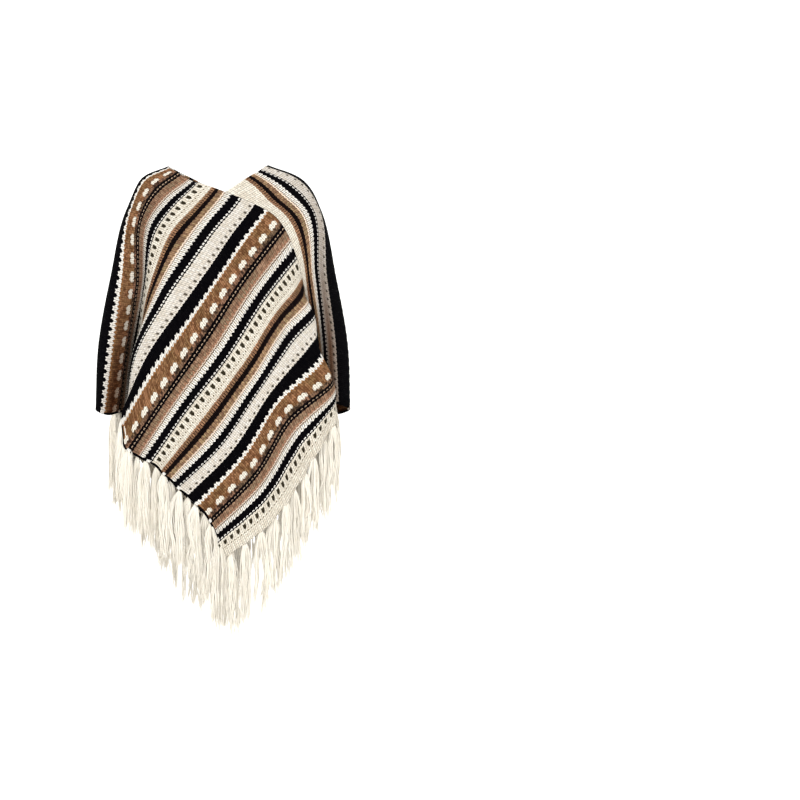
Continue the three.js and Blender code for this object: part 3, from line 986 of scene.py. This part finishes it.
class NodeGroup:
    """A Geometry Nodes tree, with the few steps that this garment's trees share."""

    def __init__(self, name: str, inputs: Sequence[tuple[str, str, object]]) -> None:
        """Makes the tree with its named inputs.

        Args:
            name: the tree's name.
            inputs: the name, the socket type and the value of each.
        """
        self.tree = bpy.data.node_groups.new(name, "GeometryNodeTree")
        interface = self.tree.interface
        interface.new_socket("Geometry", in_out="INPUT", socket_type="NodeSocketGeometry")
        for label, kind, _ in inputs:
            interface.new_socket(label, in_out="INPUT", socket_type=kind)
        interface.new_socket("Geometry", in_out="OUTPUT", socket_type="NodeSocketGeometry")
        self.start = self.tree.nodes.new("NodeGroupInput")
        self.values = {label: value for label, _, value in inputs}

    def node(self, kind: str, settings: dict, inputs: dict) -> bpy.types.Node:
        """Adds a node.

        Args:
            kind: the node's type.
            settings: its own settings.
            inputs: values or links for its sockets, by name or number.

        Returns:
            The node.
        """
        made = self.tree.nodes.new(kind)
        for key, setting in settings.items():
            setattr(made, key, setting)
        for key, value in inputs.items():
            if isinstance(value, bpy.types.NodeSocket):
                self.tree.links.new(value, made.inputs[key])
            else:
                made.inputs[key].default_value = value
        return made

    def end(self, geometry: bpy.types.NodeSocket) -> None:
        """Realizes the result, gives it its material and links the output.

        Args:
            geometry: the socket that holds the result.
        """
        realized = self.node("GeometryNodeRealizeInstances", {}, {0: geometry})
        inputs = {0: realized.outputs[0], "Material": self.start.outputs["Material"]}
        dressed = self.node("GeometryNodeSetMaterial", {}, inputs)
        smooth = self.node("GeometryNodeSetShadeSmooth", {}, {0: dressed.outputs[0]})
        out = self.tree.nodes.new("NodeGroupOutput")
        self.tree.links.new(smooth.outputs[0], out.inputs[0])

    def apply(self, guide: bpy.types.Mesh, name: str) -> bpy.types.Object:
        """Runs the tree on a guide mesh.

        Args:
            guide: the mesh that the tree starts from.
            name: the new piece's name.

        Returns:
            A plain mesh object at the origin, with no modifier.
        """
        carrier = put(name + "_guide", guide)
        modifier = carrier.modifiers.new("nodes", "NODES")
        modifier.node_group = self.tree
        for item in self.tree.interface.items_tree:
            if item.in_out == "INPUT" and item.name in self.values:
                modifier[item.identifier] = self.values[item.name]
        bpy.context.view_layer.update()
        graph = bpy.context.evaluated_depsgraph_get()
        mesh = bpy.data.meshes.new_from_object(carrier.evaluated_get(graph))
        bpy.data.objects.remove(carrier)
        mesh.name = name
        return put(name, mesh)


def add_numbers(mesh: bpy.types.Mesh, name: str, values: Array) -> None:
    """Gives every point of a mesh a number, as a named attribute."""
    mesh.attributes.new(name, "FLOAT", "POINT").data.foreach_set("value", values)


def guide_mesh(name: str, lines: Sequence[Array], thickness: Array) -> bpy.types.Mesh:
    """A mesh of loose edges for yarn to follow.

    Args:
        name: the mesh's name.
        lines: the points of each chain, in metres.
        thickness: the yarn's radius at each point of them all.

    Returns:
        The mesh, one chain for each line.
    """
    edges, first = [], 0
    for line in lines:
        edges += [(first + i, first + i + 1) for i in range(len(line) - 1)]
        first += len(line)
    mesh = bpy.data.meshes.new(name)
    mesh.from_pydata(np.concatenate(lines).tolist(), edges, [])
    add_numbers(mesh, "thickness", thickness)
    return mesh


def yarn_tubes(material: bpy.types.Material, sides: int) -> NodeGroup:
    """The tree that gives guide lines the thickness of yarn.

    Args:
        material: the yarn's finish.
        sides: how many sides a yarn has.

    Returns:
        The tree, ready to run on a guide mesh.
    """
    inputs = [("Sides", "NodeSocketInt", sides), ("Material", "NodeSocketMaterial", material)]
    group = NodeGroup("yarn_tubes", inputs)
    given = group.start.outputs
    line = group.node("GeometryNodeMeshToCurve", {}, {0: given["Geometry"]})
    ring = group.node(
        "GeometryNodeCurvePrimitiveCircle", {}, {"Resolution": given["Sides"], "Radius": 1.0}
    )
    radius = group.node(
        "GeometryNodeInputNamedAttribute", {"data_type": "FLOAT"}, {"Name": "thickness"}
    )
    sockets = {0: line.outputs[0], 1: ring.outputs[0], "Scale": radius.outputs[0]}
    tube = group.node("GeometryNodeCurveToMesh", {}, {**sockets, "Fill Caps": True})
    group.end(tube.outputs[0])
    return group


def add_piece(piece: bpy.types.Object, nodes: Sequence[str]) -> bpy.types.Object:
    """Adds a finished piece to the garment.

    Args:
        piece: the mesh object.
        nodes: the solids that it stands for.

    Returns:
        The same piece.
    """
    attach(piece, BODY)
    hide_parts(*nodes)
    log.info("%s: %d faces", piece.name, len(piece.data.polygons))
    return piece


@dataclass
class KnitPanel:
    """One knitted rectangle as a relief wall with the worn shape.

    The outer face has two rows of points to a course and four columns to a stitch, so that
    every leg of a stitch stands out. The inner face is plain and half as fine.
    """

    side: Side
    drape: Drape
    material: bpy.types.Material
    wall: float = 3.2
    seam_gap: float = 0.3
    row_clearance: float = 1.0
    leg_height: float = 1.6
    valley: float = 0.5
    comb_lift: float = 0.5
    course_height: float = 0.5
    welt_height: float = 1.0
    welt_round: float = 0.6
    sunk: float = 0.5
    edge_fade: float = 7.0
    lip_height: float = 0.9
    lip_reach: tuple[float, float] = (5.0, 1.0)
    uneven: float = 0.35
    uneven_seed: int = 5

    def build(self) -> bpy.types.Object:
        """Builds the panel.

        Returns:
            The finished piece.
        """
        u, v = self._rows(), self._columns()
        points, ways = self.drape.frames(u, v)
        points = points + self._drawn_in(u, v)
        relief = self._relief(u, v)[..., None]
        raised = self.wall / 2 - self.leg_height / 2 + relief
        outer = placed(points + ways * raised, self.side, self.drape)
        inner = placed(points - ways * self.wall / 2, self.side, self.drape)
        mesh = self._mesh(outer, inner, u, v)
        mesh.materials.append(self.material)
        piece = put(f"knit_{self.side.value}", mesh)
        return add_piece(piece, [f"panel_{self.side.value}"])

    def _rows(self) -> Array:
        """Where the rows of points lie: on every course's crest and hollow."""
        cloth, chart = zip(*STRIPE_PLACES[self.side], strict=True)
        half = STITCH_TALL / 2
        crests = np.arange(half, chart[-1] - half / 2, half)
        inside = np.interp(crests, chart, cloth)
        apart = np.abs(inside - self.drape.short) > self.row_clearance
        return np.concatenate([[0], np.sort([*inside[apart], self.drape.short]), [self.drape.long]])

    def _columns(self) -> Array:
        """Where the columns of points lie: four to a stitch."""
        return np.linspace(0, self.drape.short, 1 + round(self.drape.short / STITCH_WIDE) * 4)

    def _relief(self, u: Array, v: Array) -> Array:
        """The height of the knit: stitch legs, courses, each band's welt and the hem's lip.

        Args:
            u: places along the panel.
            v: places across it.

        Returns:
            Millimetres over the cloth's face on the grid, level at the sewn edges.
        """
        chart = chart_places(self.side, u, v)
        leg = np.abs(np.mod(v / STITCH_WIDE, 1) - 0.5) * 2
        ribs = np.sin(math.pi * leg) - self.valley * leg**4
        courses = np.cos(2 * math.pi * (chart / STITCH_TALL + leg[None] * STITCH_LEAN - 0.5))
        local = np.mod(np.maximum(chart - REPEAT_START, 0), REPEAT_LENGTH)
        welts = np.zeros_like(chart)
        combs = np.zeros_like(chart)
        place = 0.0
        for band in REPEAT:
            share = (local - place) / band.width
            inside = (share >= 0) & (share < 1)
            welts[inside] = band.welt * np.sin(math.pi * share[inside]) ** self.welt_round
            combs[inside] = band.comb
            place += band.width
        random = np.random.default_rng(self.uneven_seed)
        rough = random.uniform(-1, 1, (len(u), len(v))) * self.uneven
        height = ribs[None] * self.leg_height * (1 + self.comb_lift * combs)
        height = height + courses * self.course_height * (ribs[None] > 0.5)
        height = height + welts * self.welt_height - self.sunk + rough
        far = self.drape.long - u
        to_seam = np.where(u <= self.drape.short, 1.0, 0.0)[:, None] * (v < self.edge_fade)
        fade = np.where(to_seam > 0, v / self.edge_fade, 1.0)
        fade = fade * np.minimum(far / self.edge_fade, 1)[:, None]
        low, high = (self.drape.short - reach for reach in self.lip_reach)
        lip = smooth_step(low, high, v) * self.lip_height
        return height * fade + self.leg_height / 2 * (1 - fade) + lip[None]

    def _drawn_in(self, u: Array, v: Array) -> Array:
        """Draws the two sewn edges in by half the seam's gap.

        Args:
            u: places along the panel.
            v: places across it.

        Returns:
            How far each point of the grid moves, in millimetres.
        """
        away = np.zeros((len(u), len(v), 3))
        sheet = self.drape.sheet(u, v)
        seam = u <= self.drape.short
        away[seam, 0] = unit(sheet[seam, 1] - sheet[seam, 0])
        away[-1] = unit(sheet[-2] - sheet[-1])
        return away * self.seam_gap / 2

    def _mesh(self, outer: Array, inner: Array, u: Array, v: Array) -> bpy.types.Mesh:
        """The closed mesh of both faces and the four edges.

        Args:
            outer: the outer face's points, in metres.
            inner: the inner face's points, of which every second is used.
            u: places along the panel.
            v: places across it.

        Returns:
            The mesh, with the chart's UV map and the shade at each point.
        """
        rows, cols = len(u), len(v)
        at = np.arange(rows * cols).reshape(rows, cols)
        a, b, c, d = at[:-1, :-1], at[:-1, 1:], at[1:, 1:], at[1:, :-1]
        faces = np.stack([a, b, c, d], axis=-1).reshape(-1, 4).tolist()
        keep_u = np.union1d(np.arange(0, rows, 2), [rows - 1])
        keep_v = np.union1d(np.arange(0, cols, 2), [cols - 1])
        under = np.full((rows, cols), -1)
        kept = np.ix_(keep_u, keep_v)
        count = len(keep_u) * len(keep_v)
        under[kept] = rows * cols + np.arange(count).reshape(len(keep_u), len(keep_v))
        low = under[kept]
        a, b, c, d = low[:-1, :-1], low[:-1, 1:], low[1:, 1:], low[1:, :-1]
        faces += np.stack([d, c, b, a], axis=-1).reshape(-1, 4).tolist()
        edges = (
            (at[:, 0], under[:, 0], keep_u, False),
            (at[:, -1], under[:, -1], keep_u, True),
            (at[0], under[0], keep_v, True),
            (at[-1], under[-1], keep_v, False),
        )
        for top, bottom, keep, flip in edges:
            for first, last in zip(keep[:-1], keep[1:], strict=True):
                face = [*top[first:last + 1].tolist(), int(bottom[last]), int(bottom[first])]
                faces.append(face[::-1] if flip else face)
        points = np.concatenate([outer.reshape(-1, 3), inner[kept].reshape(-1, 3)])
        mesh = bpy.data.meshes.new("knit")
        mesh.from_pydata(points.tolist(), [], faces)
        chart = chart_places(self.side, u, v)
        grid = np.stack([chart, np.broadcast_to(v, chart.shape)], axis=-1) * MM
        flat = np.concatenate([grid.reshape(-1, 2), grid[kept].reshape(-1, 2)])
        loops = np.empty(len(mesh.loops), dtype=np.int32)
        mesh.loops.foreach_get("vertex_index", loops)
        layer = mesh.uv_layers.new(name="cloth")
        layer.data.foreach_set("uv", flat[loops].ravel())
        # The painted pleat shade at each point, which the knit's colour reads
        shade = shades(self.side, u, v)
        add_numbers(mesh, "shade", np.concatenate([shade.ravel(), shade[kept].ravel()]))
        mesh.shade_smooth()
        return mesh


@dataclass(frozen=True)
class Hem:
    """How tufts are tied along a hem, in millimetres.

    A tuft of yarns is knotted in every spacing, an inset above the edge, and none where the
    hem is bare. Its width is the spacing times the fullness.
    """

    spacing: float
    inset: float
    yarns: int
    fullness: float
    bare: tuple[tuple[float, float], ...]


@dataclass(frozen=True)
class Root:
    """Where a tuft is tied: the place, the way over the edge and the way out of the cloth."""

    place: Array
    over: Array
    out: Array


@dataclass
class Fringe:
    """The tufts of yarn along one panel's two hems, each gathered in a knot."""

    side: Side
    drape: Drape
    material: bpy.types.Material
    seed: int
    long_hem: Hem = Hem(25.0, 3.0, 48, 1.05, ((560, 650), (742, 812), (900, 920)))
    end_hem: Hem = Hem(38.0, 5.0, 51, 0.62, ((0, 40),))
    locks: int = 3
    length: float = 182.0
    yarn_radius: float = 1.05
    knot_radius: float = 3.0
    points: int = 14
    sides: int = 3
    stand_off: float = 2.6
    opening: float = 9.0
    walk_step: float = 2.0
    edge_step: float = 6.0
    place_shift: float = 0.1
    drape_start: float = 1.25
    knot_reach: float = 4.5
    knot_profile: tuple[float, ...] = (0.4, 0.9, 1.0, 0.9, 0.6)
    tuft_lengths: tuple[float, float] = (0.9, 1.02)
    lock_lengths: tuple[float, float] = (0.84, 1.0)
    yarn_lengths: tuple[float, float] = (0.82, 1.04)
    lock_shift: float = 0.3
    sway: float = 3.0
    sway_rates: tuple[float, float] = (5.0, 9.0)
    bow_rate: float = 3.4
    lean: float = 4.0
    spread: float = 0.12
    layer: float = 3.5
    curl: float = 0.8
    curl_rates: tuple[float, float] = (14.0, 26.0)
    over_reach: float = 5.0
    radius_uneven: float = 0.2
    tip_start: float = 0.8
    tip_loss: float = 0.6

    def build(self) -> bpy.types.Object:
        """Builds every tuft of the panel.

        Returns:
            The finished piece.
        """
        random = np.random.default_rng(self.seed)
        lines: list[Array] = []
        thickness: list[Array] = []
        for hem, along_u in ((self.long_hem, True), (self.end_hem, False)):
            for root in self._roots(hem, along_u, random):
                self._tuft(root, hem, random, lines, thickness)
        settled = [placed(line, self.side, self.drape) for line in lines]
        guide = guide_mesh("fringe_guide", settled, np.concatenate(thickness))
        name = f"fringe_yarn_{self.side.value}"
        piece = yarn_tubes(self.material, self.sides).apply(guide, name)
        nodes = [f"fringe_{self.side.value}_long", f"fringe_{self.side.value}_end"]
        return add_piece(piece, nodes)

    def _roots(self, hem: Hem, along_u: bool, random: np.random.Generator) -> list[Root]:
        """Where tufts are tied: nearly even along the hem, none where it is bare.

        Args:
            hem: the hem.
            along_u: whether it is the long hem.
            random: the seeded numbers.

        Returns:
            The tufts' roots in order.
        """
        reach = self.drape.long if along_u else self.drape.short
        places = np.linspace(0, reach, 1 + round(reach / self.walk_step))
        if along_u:
            edge = self.drape.short - hem.inset
            u, v = places, np.array([edge, edge - self.edge_step])
        else:
            u, v = np.array([hem.inset, hem.inset + self.edge_step]), places
        normals = self.drape.normals(u, v)
        points = self.drape.sheet(u, v) + normals * self.drape.lift(u, v)[..., None]
        if along_u:
            points, normals = points.transpose(1, 0, 2), normals.transpose(1, 0, 2)
        over = unit(points[0] - points[1])
        steps = np.linalg.norm(np.diff(points[0], axis=0), axis=1)
        travel = np.concatenate([[0], np.cumsum(steps)])
        count = int(travel[-1] // hem.spacing)
        shifts = random.uniform(-self.place_shift, self.place_shift, count)
        stops = (np.arange(count) + 0.5 + shifts) / count
        found = []
        for k in np.searchsorted(travel, stops * travel[-1]):
            if not any(low < places[k] < high for low, high in hem.bare):
                place = points[0][k] + normals[0][k] * self.stand_off
                found.append(Root(place, over[k], normals[0][k]))
        return found

    def _tuft(
        self,
        root: Root,
        hem: Hem,
        random: np.random.Generator,
        lines: list[Array],
        thickness: list[Array],
    ) -> None:
        """Adds one tuft: a knot, and soft locks of yarn that open out of it and hang.

        Args:
            root: where it is tied.
            hem: its hem, for its number of yarns and its width.
            random: the seeded numbers.
            lines: takes the yarns' middle lines.
            thickness: takes their radii in metres, a row for each line.
        """
        s = np.linspace(0, 1, self.points) ** self.drape_start
        opened = 1 - np.exp(-s * self.opening)
        level = unit(np.array([root.out[0], root.out[1], 0.0]))
        beside = np.array([-level[1], level[0], 0.0])
        along = np.linspace(-self.knot_reach, self.knot_reach, len(self.knot_profile))
        lines.append(root.place + along[:, None] * root.over)
        thickness.append(self.knot_radius * np.array(self.knot_profile) * MM)
        width = hem.spacing * hem.fullness
        length = self.length * random.uniform(*self.tuft_lengths)
        for lock in range(self.locks):
            shift = random.uniform(-self.lock_shift, self.lock_shift)
            middle = (lock + 0.5 + shift) / self.locks - 0.5
            sway, phase = random.normal(0, self.sway, 2), random.uniform(0, 2 * math.pi, 2)
            rate = random.uniform(*self.sway_rates)
            lean = random.normal(0, self.lean)
            drop = length * random.uniform(*self.lock_lengths)
            for _ in range(hem.yarns // self.locks):
                aside = (middle + random.normal(0, self.spread)) * width
                layer = random.uniform(-self.layer, self.layer)
                turn = random.normal(0, self.curl)
                curl = turn * np.sin(s * random.uniform(*self.curl_rates) + phase[1])
                line = root.place + np.outer(opened, root.over * self.over_reach)
                line[:, 2] -= drop * random.uniform(*self.yarn_lengths) * s
                wave = sway[0] * (np.sin(s * rate + phase[0]) - math.sin(phase[0])) * opened
                line += beside * (aside * opened + lean * s**2 + wave + curl * opened)[:, None]
                deep = sway[1] * np.sin(s * self.bow_rate + phase[1]) * s
                line += level * (layer * opened + deep)[:, None]
                lines.append(line)
                thickness.append(self._taper(s, random))

    def _taper(self, s: Array, random: np.random.Generator) -> Array:
        """A yarn's radii in metres, fine at the tip."""
        uneven = random.uniform(1 - self.radius_uneven, 1 + self.radius_uneven)
        taper = 1 - self.tip_loss * smooth_step(self.tip_start, 1.0, s)
        return self.yarn_radius * uneven * taper * MM


@dataclass
class Studio:
    """A pale floor that turns up into a backdrop, soft lights and the camera."""

    floor_z: float = -1.2
    back_y: float = 2.2
    bend: float = 1.2
    width: float = 12.0
    bend_points: int = 13
    front_y: float = -8.0
    top_z: float = 5.0
    paper: tuple[int, int, int] = (250, 250, 249)
    sky: float = 0.72
    camera_y: float = -4.0
    aim: tuple[float, float, float] = (0.378, 0.0, -0.499)
    lens: float = 83.7

    def build(self) -> None:
        """Builds the whole setting."""
        self._backdrop()
        self._lights()
        self._camera()
        self._world()

    def _backdrop(self) -> None:
        """The floor and the wall behind, one smooth sheet."""
        turns = np.linspace(0, math.pi / 2, self.bend_points)
        profile = [(self.front_y, self.floor_z)]
        profile += [
            (self.back_y + self.bend * math.sin(a), self.floor_z + self.bend * (1 - math.cos(a)))
            for a in turns
        ]
        profile.append((self.back_y + self.bend, self.top_z))
        points = [(x, y, z) for y, z in profile for x in (-self.width / 2, self.width / 2)]
        faces = [(2 * i, 2 * i + 1, 2 * i + 3, 2 * i + 2) for i in range(len(profile) - 1)]
        mesh = bpy.data.meshes.new("backdrop")
        mesh.from_pydata(points, [], faces)
        mesh.shade_smooth()
        floor = put("backdrop", mesh)
        paper = bpy.data.materials.new("pale_paper")
        paper.use_nodes = True
        surface = paper.node_tree.nodes["Principled BSDF"]
        surface.inputs["Base Color"].default_value = linear(*self.paper)
        surface.inputs["Roughness"].default_value = 0.95
        mesh.materials.append(paper)

    def _lights(self) -> None:
        """Soft boxes: a broad key, a fill, and two that light the backdrop."""
        for name, place, aim, size, power in (
            ("key", (-1.6, -3.4, 1.3), (0, 0, -0.4), 2.6, 54),
            ("fill", (2.4, -3.0, 0.2), (0, 0, -0.5), 2.6, 32),
            ("low_fill", (0.0, -3.2, -1.0), (0, 0, -0.6), 1.8, 18),
            ("top", (0.0, 0.4, 2.6), (0, 0, -0.4), 2.2, 30),
            ("backdrop_left", (-2.4, 0.6, 1.6), (-1.4, 3.4, 0.2), 2.0, 70),
            ("backdrop_right", (2.8, 0.6, 1.6), (1.8, 3.4, 0.2), 2.0, 70),
        ):
            data = bpy.data.lights.new(name, "AREA")
            data.shape = "DISK"
            data.size = size
            data.energy = power
            light = put(name, data)
            light.location = place
            light.rotation_euler = (Vector(aim) - Vector(place)).to_track_quat("-Z", "Y").to_euler()

    def _camera(self) -> None:
        """The camera straight in front, with the garment left of the picture's middle."""
        data = bpy.data.cameras.new("camera")
        data.lens = self.lens
        camera = put("camera", data)
        camera.location = (0.0, self.camera_y, self.aim[2])
        view = Vector(self.aim) - camera.location
        camera.rotation_euler = view.to_track_quat("-Z", "Y").to_euler()
        bpy.context.scene.camera = camera

    def _world(self) -> None:
        """An even white surrounding."""
        world = bpy.data.worlds.new("studio")
        world.use_nodes = True
        back = world.node_tree.nodes["Background"]
        back.inputs["Color"].default_value = WHITE
        back.inputs["Strength"].default_value = self.sky
        bpy.context.scene.world = world
        bpy.context.scene.view_settings.view_transform = "Standard"


@dataclass
class Poncho:
    """The whole garment."""

    drape: Drape = field(default_factory=Drape)

    def build(self) -> None:
        """Builds both panels and their fringes."""
        knit = StripedKnit().build(self.drape)
        off_white = PlainYarn("fringe_yarn", (255, 252, 243), (241, 231, 212)).build()
        for seed, side in enumerate(Side):
            panel = KnitPanel(side, self.drape, knit).build()
            fringe = Fringe(side, self.drape, off_white, seed=11 + seed).build()


def main() -> None:
    """Builds the garment and its setting."""
    logging.basicConfig(level=logging.INFO, format="%(name)s %(message)s")
    Studio().build()
    Poncho().build()


if __name__ == "__main__":
    main()
